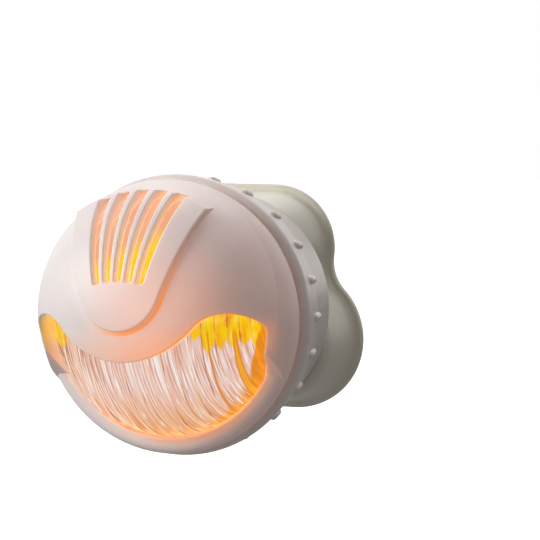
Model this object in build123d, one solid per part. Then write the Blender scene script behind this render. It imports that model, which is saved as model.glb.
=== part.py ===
from build123d import *
from math import atan2, cos, degrees, hypot, radians, sin, sqrt, tan
import os

# Plug-in night light: a round shade with a fluted lens over a small screw-in lamp, turning on a
# three-pin plug body.
#
# Millimetres. The origin lies on the shade's axis in the plane of the plug's rear face. +Y points
# into the wall, +X to the right seen from the front and +Z up. A distance d runs from the wall
# outwards, so a point at distance d has y = -d. Turned pieces are drawn as (radius, distance).

# Clearances
TURN_FIT = 0.1
TWIST_FIT = 0.2
PART_GAP = 0.3
SEAT_FIT = 0.05

# Plug outline: two upper lobes and two lower lobes, joined by hollow waists
UPPER_LOBE_R = 12.2
UPPER_LOBE_X = 6.2
UPPER_LOBE_Z = 10.6
LOWER_LOBE_R = 14.0
LOWER_LOBE_X = 10.5
LOWER_LOBE_Z = -7.2
WAIST_R = 8.0

# Plug shell
PLUG_DEPTH = 12.6
RIM_THICK = 1.2
RIM_STEP = 1.4
RIM_ROUND = 0.5
RIM_HOLLOW = 0.8
DRAFT_ANGLE = 9.1
FRONT_ROUND = 2.5
PLUG_WALL = 2.0
BASE_INSET = 3.2
BASE_THICK = 3.0
BASE_LEDGE = 0.8
SEAT_HEIGHT = 0.7
SEAT_WIDTH = 2.8
NECK_R = 12.0
NECK_WALL = 1.4
NECK_END = 2.3

# Pins, to the three-pin plug standard
PIN_SPACING = 22.23
PIN_Z = -7.6
PIN_WIDE = 6.35
PIN_THICK = 3.95
PIN_LONG = 17.7
PIN_BEVEL = 1.0
SLEEVE_WALL = 0.6
SLEEVE_LONG = 9.5
SLEEVE_ROOT = 2.0
EARTH_WIDE = 3.95
EARTH_TALL = 8.0
EARTH_LONG = 22.7
EARTH_BEVEL = 1.2
EARTH_HEAD_EDGE = 1.0

# Screws that hold the base in the shell
SCREW_R = 1.1
SCREW_HEAD_R = 2.0
SCREW_HEAD_DEPTH = 1.2
SCREW_SINK = 0.5
SCREW_LONG = 8.0
SCREW_BOSS_R = 2.3
SCREW_SLOT = 0.6
SCREW_PLACES = [(-9.8, 12.2), (9.8, 12.2), (0.0, -15.3)]

# Shade cup
CUP_TAPER = 2.4
CUP_DEPTH = 14.2
CUP_WALL = 1.8
CUP_FLOOR = 1.8
SPIGOT_LONG = 3.4
SPIGOT_STEP = 1.0
SPIGOT_WALL = 1.3
NOTCH_R = 2.0
NOTCH_DEEP = 0.8
NOTCH_LONG = 1.2
NOTCH_ANGLE = 66.0

# Grip ring, with raised grip pips round its rear edge
RING_OVERHANG = 0.3
RING_WALL = 3.05
RING_FLARE = 1.35
RING_DEPTH = 8.4
RING_ROUND = 1.2
PIP_COUNT = 23
PIP_START_ANGLE = -2.1
PIP_R = 0.8
PIP_LONG = 3.8
PIP_SINK = 0.15

# Bayonet between the grip ring and the hood
LUG_COUNT = 3
LUG_ANGLE = 20.0
LUG_START_ANGLE = 90.0
LUG_HEIGHT = 0.8
LIP_THICK = 1.8
TWIST_ANGLE = 24.0
STOP_ANGLE = 1.5

# Hood: rim band, dome, raised panel with slots, and the wave-topped window
HEAD_ANGLE = 2.6
BAND_STEP = 1.1
BAND_BULGE = 1.05
BAND_DEPTH = 4.9
BAND_ROUND = 1.6
SKIRT_WALL = 0.85
OPENING_STEP = 0.27
OPENING_ROUND = 0.4
DOME_LONG = 21.5
DOME_RISE = 1.0
DOME_SET = 2.75
HOOD_WALL = 1.8
FLANK_LONG = 7.1
FLANK_SINK = 0.3
FLANK_FOOT_Z = -12.0
FLANK_ANGLE = 42.0
APRON_R = 16.0
APRON_LOW = -5.8
SHOULDER_R = 5.8
SHOULDER_MARGIN = 1.3
CORNER_R = 3.0
WINDOW_ROUND = 0.3
PANEL_RAISE = 0.6
PANEL_TURN_R = 30.0
PANEL_ROUND = 0.4
TONGUE_R = 7.5
TONGUE_LOW = -0.4
TONGUE_FLARE_ANGLE = 19.7
TONGUE_MARGIN = 0.4
SLOT_COUNT = 5
SLOT_FOOT_SPACING = 2.0
SLOT_FOOT_WIDE = 1.25
SLOT_FOOT_Z = 8.1
SLOT_FOOT_DROP = 0.12
SLOT_TOP_SPACING = 3.5
SLOT_TOP_WIDE = 2.3
SLOT_MARGIN = 0.7
SLOT_CORNER_R = 0.3
SLOT_ROUND = 0.25

# Lens, its retaining ring and the amber filter behind its upper half
LENS_RIM_R = 21.35
LENS_BOWL = 16.5
LENS_WALL = 1.4
LENS_COLLAR = 3.0
LEDGE_LONG = 1.5
FLANGE_THICK = 1.6
FLANGE_STEP = 0.45
FLUTE_WIDE = 2.4
FLUTE_DEEP = 0.3
FLUTE_SPREAD_ANGLE = 66.0
CLAMP_THICK = 1.5
CLAMP_WIDE = 2.3
FILTER_WALL = 0.8
FILTER_LOW = -3.0

# Lamp: small Edison screw cap and round-ended glass
LAMP_TIP = 54.0
LAMP_LONG = 48.0
LAMP_R = 11.0
GLASS_WALL = 0.6
GLASS_NECK_R = 6.3
GLASS_SWELL = 9.0
CAP_R = 6.9
CAP_LONG = 17.0
CAP_WALL = 0.4
FOOT_R = 2.4
FOOT_LONG = 2.5
FOOT_THICK = 0.8
CONE_EDGE = 1.6
GLASS_GRIP = 5.0
STEM_R = 2.2
STEM_LONG = 10.0
WIRE_R = 0.2
WIRE_SPREAD = 3.8
WIRE_LONG = 5.0

# Lamp holder and contacts
SLEEVE_R = 7.6
SLEEVE_METAL = 0.5
SLEEVE_DEPTH = 14.0
HOLDER_DEPTH = 18.0
HOLDER_FLOOR = 1.0
HOLDER_FLANGE_R = 12.6
HOLDER_FLANGE = 1.6
STRIP_THICK = 0.8
STRIP_WIDE = 4.0
CONTACT_R = 2.5
RIVET_R = 1.2
RIVET_EDGE = 0.6
TAB_WIDE = 2.4
SLEEVE_LIFT = 1.0

# Washer and clip that hold the cup on the plug's neck
WASHER_THICK = 0.5
WASHER_R = 15.5
CLIP_THICK = 0.9
CLIP_R = 14.5
CLIP_BITE = 0.8
CLIP_GAP_ANGLE = 60.0
CLIP_START_ANGLE = 240.0

# Places along the axis, each from the one it seats on
front_wall = PLUG_DEPTH - PLUG_WALL
screw_tip = SCREW_SINK + SCREW_HEAD_DEPTH + SCREW_LONG
cup_rear = PLUG_DEPTH + SEAT_HEIGHT + TURN_FIT
cup_floor = cup_rear + CUP_FLOOR
washer_rear = cup_floor + TURN_FIT
clip_rear = washer_rear + WASHER_THICK
neck_front = clip_rear + CLIP_THICK + NECK_END
ring_rear = cup_rear + CUP_DEPTH
spigot_front = ring_rear + SPIGOT_LONG
ring_front = ring_rear + RING_DEPTH
hood_rear = ring_front + PART_GAP
band_front = hood_rear + BAND_DEPTH
skirt_rear = spigot_front + TURN_FIT + PART_GAP
lip_rear = ring_front - LIP_THICK
lug_front = lip_rear - PART_GAP
dome_centre = hood_rear + DOME_SET
dome_front = dome_centre + DOME_LONG + 2 * PANEL_RAISE
lens_rim = band_front - TWIST_FIT
flange_front = lens_rim - LENS_COLLAR
flange_rear = flange_front - FLANGE_THICK
ledge_front = flange_front + LEDGE_LONG
lamp_foot = LAMP_TIP - LAMP_LONG
holder_floor = lamp_foot - STRIP_THICK
holder_rear = holder_floor - HOLDER_FLOOR
strip_rear = holder_rear - STRIP_THICK
sleeve_rear = holder_floor + SLEEVE_LIFT
cap_rear = lamp_foot + FOOT_LONG
cap_front = cap_rear + CAP_LONG
glass_rear = cap_front - GLASS_GRIP
stem_front = glass_rear + STEM_LONG

# Sizes across the axis that follow from a neighbour's
earth_z = PIN_Z + PIN_SPACING
core_wide = PIN_WIDE - 2 * SLEEVE_WALL
core_thick = PIN_THICK - 2 * SLEEVE_WALL
holder_r = NECK_R - NECK_WALL - SEAT_FIT
tab_x = SLEEVE_R - SLEEVE_METAL / 2
cone_r = CAP_R - CONE_EDGE
flange_r = LENS_RIM_R + FLANGE_STEP
ledge_r = LENS_RIM_R + SEAT_FIT
opening_r = ledge_r + OPENING_STEP
bore_r = flange_r + SEAT_FIT
skirt_r = bore_r + SKIRT_WALL
lug_r = skirt_r + LUG_HEIGHT
band_rear_r = skirt_r + BAND_STEP
band_bulge_r = band_rear_r + BAND_BULGE
dome_r = band_rear_r
lip_r = skirt_r + TWIST_FIT
ring_front_r = lip_r + RING_WALL
ring_rear_r = ring_front_r - RING_FLARE
cup_front_r = ring_rear_r - RING_OVERHANG
cup_rear_r = cup_front_r - CUP_TAPER
cup_spigot_r = cup_front_r - SPIGOT_STEP
cup_hole_r = NECK_R + TURN_FIT
lens_ball_r = (LENS_RIM_R**2 + LENS_BOWL**2) / (2 * LENS_BOWL)
lens_ball_centre = lens_rim + LENS_BOWL - lens_ball_r


def turned(*outline):
    """Solid turned about the shade's axis from (radius, distance) corners."""
    corners = [(radius, -distance) for radius, distance in outline]
    return revolve(make_face(Polyline(*corners, close=True)), Axis.Y)


def ring(inner, outer, rear, front):
    """Plain ring between two radii and two distances from the wall."""
    return turned((inner, rear), (outer, rear), (outer, front), (inner, front))


def rod(radius, rear, front):
    """Plain round rod on the axis."""
    return turned((0, rear), (radius, rear), (radius, front), (0, front))


def wall_plane(distance):
    """Plane parallel to the wall whose own x and y are the light's X and Z, facing outwards."""
    return Plane(origin=(0, -distance, 0), x_dir=(1, 0, 0), z_dir=(0, -1, 0))


def prism(sketch, rear, front, taper=0.0):
    """Straight or drafted block over an (X, Z) sketch, from rear to front."""
    return extrude(wall_plane(rear) * sketch, front - rear, taper=taper)


def block(x, z, wide, tall, rear, front):
    """Rectangular bar along the axis, centred at (x, z)."""
    return prism(Pos(x, z) * Rectangle(wide, tall), rear, front)


def round_bar(x, z, radius, rear, front):
    """Round bar along the axis, centred at (x, z)."""
    return prism(Pos(x, z) * Circle(radius), rear, front)


def sector(outer, rear, front, start, size):
    """Wedge from the axis out to a radius, from one angle on, counter-clockwise from the front."""
    reach = outer / cos(radians(size / 2))
    edge = [(reach * cos(radians(a)), reach * sin(radians(a))) for a in (start, start + size)]
    wedge = prism(make_face(Polyline((0, 0), *edge, close=True)), rear, front)
    return wedge & rod(outer, rear, front)


def aimed(solid):
    """A piece of the shade, turned to the angle at which the shade stands."""
    return Rot(0, -HEAD_ANGLE, 0) * solid


def arc_on(centre, radius, start, end):
    """The shorter arc of a circle between two of its points."""
    middle = (Vector(*start) + Vector(*end)) / 2 - Vector(*centre)
    return ThreePointArc(start, Vector(*centre) + middle.normalized() * radius, end)


def between(centre, other, share):
    """Point on the line from one centre to another, at a distance from the first."""
    length = hypot(other[0] - centre[0], other[1] - centre[1])
    return tuple(a + (b - a) * share / length for a, b in zip(centre, other))


def plug_outline(inset):
    """Plug outline in X and Z, set in by the same amount all round."""
    upper, lower = (UPPER_LOBE_X, UPPER_LOBE_Z), (LOWER_LOBE_X, LOWER_LOBE_Z)
    gap = hypot(upper[0] - lower[0], upper[1] - lower[1])
    to_upper, to_lower = UPPER_LOBE_R + WAIST_R, LOWER_LOBE_R + WAIST_R
    along = (to_upper**2 - to_lower**2 + gap**2) / (2 * gap)
    aside = sqrt(to_upper**2 - along**2)
    foot = between(upper, lower, along)
    waist = (foot[0] - (lower[1] - upper[1]) / gap * aside, foot[1] + (lower[0] - upper[0]) / gap * aside)
    upper_r, lower_r, waist_r = UPPER_LOBE_R - inset, LOWER_LOBE_R - inset, WAIST_R + inset
    top = (upper[0], upper[1] + upper_r)
    bottom = (lower[0], lower[1] - lower_r)
    upper_end = between(waist, upper, waist_r)
    lower_end = between(waist, lower, waist_r)
    side = Curve() + [
        Line((0, top[1]), top),
        arc_on(upper, upper_r, top, upper_end),
        arc_on(waist, waist_r, upper_end, lower_end),
        arc_on(lower, lower_r, lower_end, bottom),
        Line(bottom, (0, bottom[1])),
    ]
    return make_face(side + mirror(side, Plane.YZ))


def make_plug_shell():
    """Outer moulding of the plug, hollow, with the neck that the shade turns on."""
    wall = prism(plug_outline(RIM_STEP), RIM_THICK, PLUG_DEPTH, DRAFT_ANGLE)
    wall = fillet(wall.faces().sort_by(Axis.Y)[0].edges(), FRONT_ROUND)
    shell = prism(plug_outline(0), 0, RIM_THICK) + wall
    shoulder = shell.faces().filter_by(Axis.Y).sort_by(Axis.Y)[-2]
    shell = fillet(shoulder.inner_wires()[0].edges(), RIM_HOLLOW)
    shoulder = shell.faces().filter_by(Axis.Y).sort_by(Axis.Y)[-2]
    shell = fillet(shoulder.outer_wire().edges(), RIM_ROUND)
    shell -= prism(plug_outline(BASE_INSET), 0, BASE_THICK)
    shell -= prism(plug_outline(BASE_INSET + BASE_LEDGE), BASE_THICK, front_wall, DRAFT_ANGLE)
    shell += ring(NECK_R, NECK_R + SEAT_WIDTH, front_wall, PLUG_DEPTH + SEAT_HEIGHT)
    shell += rod(NECK_R, front_wall, neck_front)
    for x, z in SCREW_PLACES:
        shell += round_bar(x, z, SCREW_BOSS_R, BASE_THICK, front_wall)
        shell -= round_bar(x, z, SCREW_R + SEAT_FIT, BASE_THICK, screw_tip + PART_GAP)
    shell -= rod(holder_r + SEAT_FIT, BASE_THICK, neck_front)
    shell -= ring(NECK_R - CLIP_BITE, NECK_R + TURN_FIT, clip_rear, clip_rear + CLIP_THICK)
    return shell


def make_plug_base():
    """Plate that closes the plug's rear and carries the three pins."""
    base = prism(plug_outline(BASE_INSET + SEAT_FIT), 0, BASE_THICK)
    for x in (-PIN_SPACING / 2, PIN_SPACING / 2):
        base -= block(x, PIN_Z, PIN_WIDE + 2 * SEAT_FIT, PIN_THICK + 2 * SEAT_FIT, 0, SLEEVE_ROOT)
        base -= block(x, PIN_Z, core_wide + 2 * SEAT_FIT, core_thick + 2 * SEAT_FIT, 0, BASE_THICK)
    base -= block(0, earth_z, EARTH_WIDE + 2 * SEAT_FIT, EARTH_TALL + 2 * SEAT_FIT, 0, BASE_THICK)
    for x, z in SCREW_PLACES:
        base -= round_bar(x, z, SCREW_HEAD_R + SEAT_FIT, 0, SCREW_SINK + SCREW_HEAD_DEPTH)
        base -= round_bar(x, z, SCREW_R + SEAT_FIT, 0, BASE_THICK)
    return base


def make_base_screws():
    """The screws that pull the base into the shell, with a cross slot in each sunk head."""
    screws = Part()
    for x, z in SCREW_PLACES:
        head_front = SCREW_SINK + SCREW_HEAD_DEPTH
        screw = round_bar(x, z, SCREW_HEAD_R, SCREW_SINK, head_front)
        screw += round_bar(x, z, SCREW_R, head_front, screw_tip)
        for wide, tall in ((SCREW_HEAD_R, SCREW_SLOT), (SCREW_SLOT, SCREW_HEAD_R)):
            screw -= block(x, z, wide, tall, SCREW_SINK, SCREW_SINK + SCREW_SLOT)
        screws += screw
    return screws


def make_pin(x):
    """Brass pin: a full-section tip and a slimmer core that runs in through its sleeve."""
    tip = block(x, PIN_Z, PIN_WIDE, PIN_THICK, -PIN_LONG, -SLEEVE_LONG)
    tip = chamfer(tip.faces().sort_by(Axis.Y)[-1].edges(), PIN_BEVEL)
    return tip + block(x, PIN_Z, core_wide, core_thick, -SLEEVE_LONG, strip_rear)


def make_pin_sleeves():
    """Insulating sleeves round the inner half of the two brass pins."""
    sleeves = Part()
    for x in (-PIN_SPACING / 2, PIN_SPACING / 2):
        sleeve = block(x, PIN_Z, PIN_WIDE, PIN_THICK, -SLEEVE_LONG, SLEEVE_ROOT)
        sleeve -= block(x, PIN_Z, core_wide, core_thick, -SLEEVE_LONG, SLEEVE_ROOT)
        sleeves += sleeve
    return sleeves


def make_earth_pin():
    """Moulded pin that opens the socket's shutters, with a head inside the base."""
    pin = block(0, earth_z, EARTH_WIDE, EARTH_TALL, -EARTH_LONG, BASE_THICK)
    pin = chamfer(pin.faces().sort_by(Axis.Y)[-1].edges(), EARTH_BEVEL)
    head_wide, head_tall = EARTH_WIDE + 2 * EARTH_HEAD_EDGE, EARTH_TALL - EARTH_HEAD_EDGE
    return pin + block(0, earth_z, head_wide, head_tall, BASE_THICK, strip_rear)


def strip(start, end):
    """Flat metal strip with round ends between two (X, Z) places behind the holder."""
    run = (end[0] - start[0], end[1] - start[1])
    middle = Pos((start[0] + end[0]) / 2, (start[1] + end[1]) / 2)
    outline = SlotCenterToCenter(hypot(*run), STRIP_WIDE)
    return prism(middle * Rot(0, 0, degrees(atan2(run[1], run[0]))) * outline, strip_rear, holder_rear)


def make_line_strip():
    """Strip from the line pin to the rivet under the lamp."""
    return strip((PIN_SPACING / 2, PIN_Z), (0, 0)) - rod(RIVET_R + SEAT_FIT, strip_rear, holder_rear)


def make_neutral_strip():
    """Strip from the neutral pin, with a tab that rises to the screwed sleeve."""
    tab = block(-tab_x, 0, SLEEVE_METAL, TAB_WIDE, strip_rear, sleeve_rear)
    return strip((-PIN_SPACING / 2, PIN_Z), (-tab_x, 0)) + tab


def make_centre_contact():
    """Rivet through the holder's floor that the lamp's foot bears on."""
    rivet = rod(CONTACT_R, holder_floor, lamp_foot)
    rivet += rod(RIVET_R, strip_rear, holder_floor)
    return rivet + rod(RIVET_R + RIVET_EDGE, strip_rear - RIVET_EDGE / 2, strip_rear)


def make_lamp_holder():
    """Insulating cup in the neck, held behind the shell's front wall by its flange."""
    holder = rod(holder_r, holder_rear, holder_rear + HOLDER_DEPTH)
    holder += rod(HOLDER_FLANGE_R, front_wall - HOLDER_FLANGE, front_wall)
    holder -= rod(SLEEVE_R + SEAT_FIT, holder_floor, holder_rear + HOLDER_DEPTH)
    holder -= rod(RIVET_R + SEAT_FIT, holder_rear, holder_floor)
    tab_thick, tab_wide = SLEEVE_METAL + 2 * SEAT_FIT, TAB_WIDE + 2 * SEAT_FIT
    return holder - block(-tab_x, 0, tab_thick, tab_wide, holder_rear, sleeve_rear)


def make_holder_sleeve():
    """Brass sleeve that the lamp's cap screws into."""
    return ring(SLEEVE_R - SLEEVE_METAL, SLEEVE_R, sleeve_rear, sleeve_rear + SLEEVE_DEPTH)


def make_lamp_contact():
    """Solder contact on the lamp's foot."""
    return rod(FOOT_R, lamp_foot, lamp_foot + FOOT_THICK)


def make_lamp_insulator():
    """Glass cone between the lamp's contact and its cap."""
    base = FOOT_R + FOOT_THICK
    return turned((0, lamp_foot + FOOT_THICK), (base, lamp_foot + FOOT_THICK),
                  (cone_r, cap_rear), (cone_r, cap_rear + FOOT_THICK), (0, cap_rear + FOOT_THICK))


def make_lamp_cap():
    """Metal cap of the lamp, drawn in at the rear round the glass cone."""
    opening = cone_r + SEAT_FIT
    drawn = cap_rear + CAP_R - opening
    return turned((opening, cap_rear), (CAP_R, drawn), (CAP_R, cap_front),
                  (CAP_R - CAP_WALL, cap_front), (CAP_R - CAP_WALL, drawn + CAP_WALL),
                  (opening, cap_rear + 2 * CAP_WALL))


def glass_body(shrink):
    """Lamp glass outline turned solid, drawn in by the same amount all over."""
    neck, body = GLASS_NECK_R - shrink, LAMP_R - shrink
    swell = cap_front + CAP_WALL
    round_start = -(LAMP_TIP - LAMP_R)
    outline = Curve() + [
        Line((0, -glass_rear), (neck, -glass_rear)),
        Line((neck, -glass_rear), (neck, -swell)),
        Spline((neck, -swell), (body, -swell - GLASS_SWELL), tangents=[(0, -1), (0, -1)]),
        Line((body, -swell - GLASS_SWELL), (body, round_start)),
        arc_on((0, round_start), body, (body, round_start), (0, round_start - body)),
        Line((0, round_start - body), (0, -glass_rear)),
    ]
    return revolve(make_face(outline), Axis.Y)


def make_lamp_glass():
    """Hollow glass of the lamp, open at the neck."""
    return glass_body(0) - glass_body(GLASS_WALL)


def make_lamp_stem():
    """Glass stem that closes the neck and carries the wires."""
    flare = GLASS_NECK_R - GLASS_WALL - SEAT_FIT
    return turned((0, glass_rear), (flare, glass_rear), (flare, glass_rear + FOOT_THICK),
                  (STEM_R, glass_rear + flare), (STEM_R, stem_front), (0, stem_front))


def make_lamp_filament():
    """Two wires from the stem and the coiled wire between their tips, as one bent run."""
    corner = -(stem_front + WIRE_LONG)
    crown = corner - WIRE_SPREAD / 2
    foot = STEM_R / 2
    runs = [
        Line((-foot, -stem_front), (-WIRE_SPREAD, corner)),
        ThreePointArc((-WIRE_SPREAD, corner), (0, crown), (WIRE_SPREAD, corner)),
        Line((WIRE_SPREAD, corner), (foot, -stem_front)),
    ]
    wire = Pos(-WIRE_SPREAD, corner) * Sphere(WIRE_R) + Pos(WIRE_SPREAD, corner) * Sphere(WIRE_R)
    for run in runs:
        wire += sweep(Plane(run @ 0, z_dir=run % 0) * Circle(WIRE_R), run)
    return wire


def make_turn_washer():
    """Washer between the cup's floor and the clip."""
    return ring(NECK_R + SEAT_FIT, WASHER_R, washer_rear, clip_rear)


def make_neck_clip():
    """Spring clip in the neck's groove, open over a part of its turn."""
    clip = ring(NECK_R - CLIP_BITE + SEAT_FIT, CLIP_R, clip_rear, clip_rear + CLIP_THICK)
    mouth = sector(CLIP_R + SEAT_FIT, clip_rear, clip_rear + CLIP_THICK, CLIP_START_ANGLE, CLIP_GAP_ANGLE)
    return clip - mouth


def make_shade_cup():
    """Tapered cup behind the grip ring, open to the front, turning on the plug's neck."""
    cup = turned((cup_hole_r, cup_rear), (cup_rear_r, cup_rear), (cup_front_r, ring_rear),
                 (cup_spigot_r, ring_rear), (cup_spigot_r, spigot_front),
                 (cup_spigot_r - SPIGOT_WALL, spigot_front), (cup_rear_r - CUP_WALL, cup_floor),
                 (cup_hole_r, cup_floor))
    reach = cup_rear_r + NOTCH_R - NOTCH_DEEP
    x, z = reach * cos(radians(NOTCH_ANGLE)), reach * sin(radians(NOTCH_ANGLE))
    return aimed(cup - round_bar(x, z, NOTCH_R, cup_rear, cup_rear + NOTCH_LONG))


def grip_pip(angle):
    """One grip rib on the ring's sloped side, round at its front end."""
    slope = degrees(atan2(ring_front_r - ring_rear_r, RING_DEPTH))
    straight = PIP_LONG - PIP_R
    pip = Rot(90, 0, 0) * Cylinder(PIP_R, 2 * straight) + Pos(0, -straight, 0) * Sphere(PIP_R)
    placed = Pos(ring_rear_r - PIP_SINK, -ring_rear, 0) * Rot(0, 0, slope) * pip
    return Rot(0, -angle, 0) * placed & rod(2 * ring_front_r, ring_rear, ring_front)


def make_grip_ring():
    """Ring fixed on the cup, with grip pips outside and bayonet pockets inside."""
    pocket_r = lug_r + TWIST_FIT
    seat_r, seat_front = cup_spigot_r + SEAT_FIT, spigot_front + TURN_FIT
    body = turned((seat_r, ring_rear), (ring_rear_r, ring_rear), (ring_front_r, ring_front),
                  (lip_r, ring_front), (lip_r, seat_front), (seat_r, seat_front))
    rim = body.edges().filter_by(GeomType.CIRCLE).sort_by(SortBy.RADIUS)[-1]
    body = fillet(rim, RING_ROUND)
    run, entry = LUG_ANGLE + TWIST_ANGLE + 2 * STOP_ANGLE, LUG_ANGLE + 2 * STOP_ANGLE
    for i in range(LUG_COUNT):
        start = LUG_START_ANGLE + i * 360 / LUG_COUNT - entry / 2
        body -= sector(pocket_r, seat_front, lip_rear, start, run)
        body -= sector(pocket_r, seat_front, ring_front, start + TWIST_ANGLE, entry)
    for i in range(PIP_COUNT):
        body += grip_pip(PIP_START_ANGLE + i * 360 / PIP_COUNT)
    return aimed(body)


def make_band():
    """Rounded rim band of the hood with the skirt and lugs that go into the grip ring."""
    middle = hood_rear + BAND_DEPTH / 2
    section = Curve() + [
        ThreePointArc((band_rear_r, -hood_rear), (band_bulge_r, -middle), (band_rear_r, -band_front)),
        Polyline((band_rear_r, -band_front), (opening_r, -band_front), (opening_r, -ledge_front),
                 (ledge_r, -ledge_front), (ledge_r, -flange_front), (bore_r, -flange_front),
                 (bore_r, -skirt_rear), (skirt_r, -skirt_rear), (skirt_r, -hood_rear),
                 (band_rear_r, -hood_rear)),
    ]
    band = revolve(make_face(section), Axis.Y)
    front_edges = band.edges().filter_by(GeomType.CIRCLE).sort_by(Axis.Y).filter_by(
        lambda edge: abs(edge.radius - band_rear_r) < SEAT_FIT)
    band = fillet(front_edges[0], BAND_ROUND)
    opening_edges = band.edges().filter_by(GeomType.CIRCLE).filter_by(
        lambda edge: abs(edge.radius - opening_r) < SEAT_FIT).sort_by(Axis.Y)
    band = fillet(opening_edges[0], OPENING_ROUND)
    skirt = rod(bore_r, skirt_rear, hood_rear)
    for i in range(LUG_COUNT):
        start = LUG_START_ANGLE + i * 360 / LUG_COUNT - LUG_ANGLE / 2
        band += sector(lug_r, skirt_rear, lug_front, start, LUG_ANGLE) - skirt
    return band


def make_dome(shrink):
    """Half an ellipsoid whose centre lies a little above the axis, drawn in by an amount."""
    radius, length = dome_r - shrink, DOME_LONG - shrink
    quarter = Curve() + [
        EllipticalCenterArc((0, -dome_centre), radius, length, start_angle=270, arc_size=90),
        Line((radius, -dome_centre), (0, -dome_centre)),
        Line((0, -dome_centre), (0, -dome_centre - length)),
    ]
    return Pos(0, 0, DOME_RISE) * Rot(0, 90, 0) * revolve(make_face(quarter), Axis.Y)


def make_flank():
    """Round body that carries the rim band's bulge over into the dome's sides."""
    end = dome_centre + FLANK_LONG
    dome_end_r = dome_r * sqrt(1 - (FLANK_LONG / DOME_LONG)**2)
    slope = (dome_r / DOME_LONG)**2 * FLANK_LONG / dome_end_r
    start = (band_bulge_r - SEAT_FIT, -dome_centre)
    finish = (dome_end_r - FLANK_SINK, -end)
    section = Curve() + [
        Spline(start, finish, tangents=[(0, -1), (-slope, -1)]),
        Polyline(finish, (0, -end), (0, -dome_centre), start),
    ]
    return revolve(make_face(section), Axis.Y)


def make_flank_cut():
    """Cutter outside the window that lets the dome's sides slope down to the rim band."""
    top_z = FLANK_FOOT_Z + (dome_front - dome_centre) * tan(radians(FLANK_ANGLE))
    low_z = -2 * dome_r
    side = Polyline((-dome_centre, FLANK_FOOT_Z), (-dome_front, top_z), (-dome_front, low_z),
                    (-dome_centre, low_z), close=True)
    wedge = extrude(Plane.YZ * make_face(side), 2 * dome_r, both=True)
    return wedge - rod(opening_r, hood_rear, 2 * dome_front)


def tongue_outline(shrink):
    """Round-ended tongue in X and Z with sides that flare upwards."""
    radius = TONGUE_R - shrink
    lean = radians(TONGUE_FLARE_ANGLE)
    centre = TONGUE_LOW + TONGUE_R
    side = (radius * cos(lean), centre - radius * sin(lean))
    top = centre + dome_r
    corner = (side[0] + (top - side[1]) * tan(lean), top)
    edge = Curve() + [
        arc_on((0, centre), radius, (0, centre - radius), side),
        Polyline(side, corner, (0, top)),
    ]
    return make_face(edge + mirror(edge, Plane.YZ))


def make_panel(shrink):
    """Raised panel: the dome's upright outline turned about an upright axis, cut to the tongue."""
    height, length = dome_r + PANEL_RAISE - shrink, DOME_LONG + PANEL_RAISE - shrink
    turn_centre = dome_centre + DOME_LONG + PANEL_RAISE - PANEL_TURN_R
    crown = dome_centre - turn_centre
    side = Curve() + [
        EllipticalCenterArc((crown, DOME_RISE), length, height, start_angle=270, arc_size=180),
        Polyline((crown, DOME_RISE - height), (0, DOME_RISE - height), (0, DOME_RISE + height),
                 (crown, DOME_RISE + height)),
    ]
    barrel = Pos(0, -turn_centre, 0) * Rot(0, 0, 180) * revolve(Plane.XZ * make_face(side), Axis.Z, 180)
    tongue = prism(tongue_outline(shrink), dome_centre, dome_front)
    return barrel & tongue & rod(dome_r - TONGUE_MARGIN - shrink, dome_centre, dome_front)


def make_window():
    """Cutter for the window: a wave across the top, rounded into the rim band's opening."""
    apron = (0, APRON_LOW + APRON_R)
    shoulder_x = dome_r - SHOULDER_MARGIN - SHOULDER_R
    shoulder = (shoulder_x, apron[1] - sqrt((APRON_R + SHOULDER_R)**2 - shoulder_x**2))
    turn = between(apron, shoulder, APRON_R)
    crest = (shoulder_x, shoulder[1] + SHOULDER_R)
    side = (shoulder_x + SHOULDER_R, shoulder[1])
    foot = -2 * dome_r
    edge = Curve() + [
        arc_on(apron, APRON_R, (0, APRON_LOW), turn),
        arc_on(shoulder, SHOULDER_R, turn, crest),
        arc_on(shoulder, SHOULDER_R, crest, side),
        Polyline(side, (side[0], foot), (0, foot)),
    ]
    outline = make_face(edge + mirror(edge, Plane.YZ)) & Circle(opening_r)
    corners = outline.vertices().sort_by(Axis.X)
    outline = fillet([corners[0], corners[-1]], CORNER_R)
    return prism(outline, hood_rear, dome_front)


def outer_rim(shell, cavity, cutter):
    """Edges that a cut leaves on the outside of the shell, in front of its base."""
    rim = []
    for edge in shell.edges():
        middle = edge @ 0.5
        in_cut = cutter.distance_to(middle) < SEAT_FIT
        outside = cavity.distance_to(middle) > 0.75 * HOOD_WALL
        if in_cut and outside and -middle.Y > dome_centre + SEAT_FIT:
            rim.append(edge)
    return rim


def make_slot(place):
    """Cutter for one slot of the fan, wider and further out at its top than at its foot."""
    foot_x, top_x = place * SLOT_FOOT_SPACING, place * SLOT_TOP_SPACING
    foot_z, top_r = SLOT_FOOT_Z - SLOT_FOOT_DROP * place**2, dome_r - SLOT_MARGIN
    corners = [(foot_x + side * SLOT_FOOT_WIDE / 2, foot_z) for side in (-1, 1)]
    for x in (top_x + SLOT_TOP_WIDE / 2, top_x - SLOT_TOP_WIDE / 2):
        corners.append((x, sqrt(top_r**2 - x**2)))
    outline = make_face(Polyline(*corners, close=True))
    outline = fillet(outline.vertices(), SLOT_CORNER_R)
    return prism(outline, band_front + SEAT_FIT, dome_front)


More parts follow.
